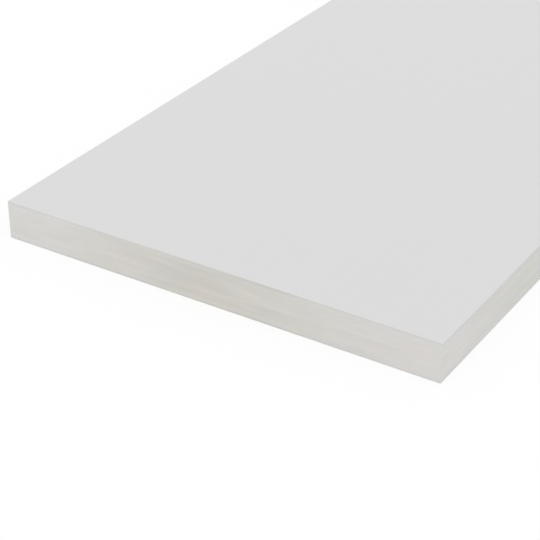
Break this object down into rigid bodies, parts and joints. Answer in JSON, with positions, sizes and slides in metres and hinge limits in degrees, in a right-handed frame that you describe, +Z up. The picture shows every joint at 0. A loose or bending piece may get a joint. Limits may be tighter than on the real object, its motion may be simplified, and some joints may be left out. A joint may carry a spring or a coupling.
{
  "type": "pvc trim board",
  "caption": "Flat square-edged cellular PVC board with smooth faces, sawn square at both ends, for exterior trim, fascia, casing and corner boards.",
  "frame": {"origin": "on the floor, at the middle of the back face that the board lies on", "axes": "+X along the length, +Y across the width, +Z up through the thickness"},
  "size_m": [2.4384, 0.1842, 0.0159],
  "materials": {
    "cellular_pvc": "satin white extruded skin on the two faces, matte planed edges and matte sawn ends, slightly warmer"
  },
  "bodies": {
    "root": {"trim_board": "cellular_pvc"}
  },
  "joints": []
}
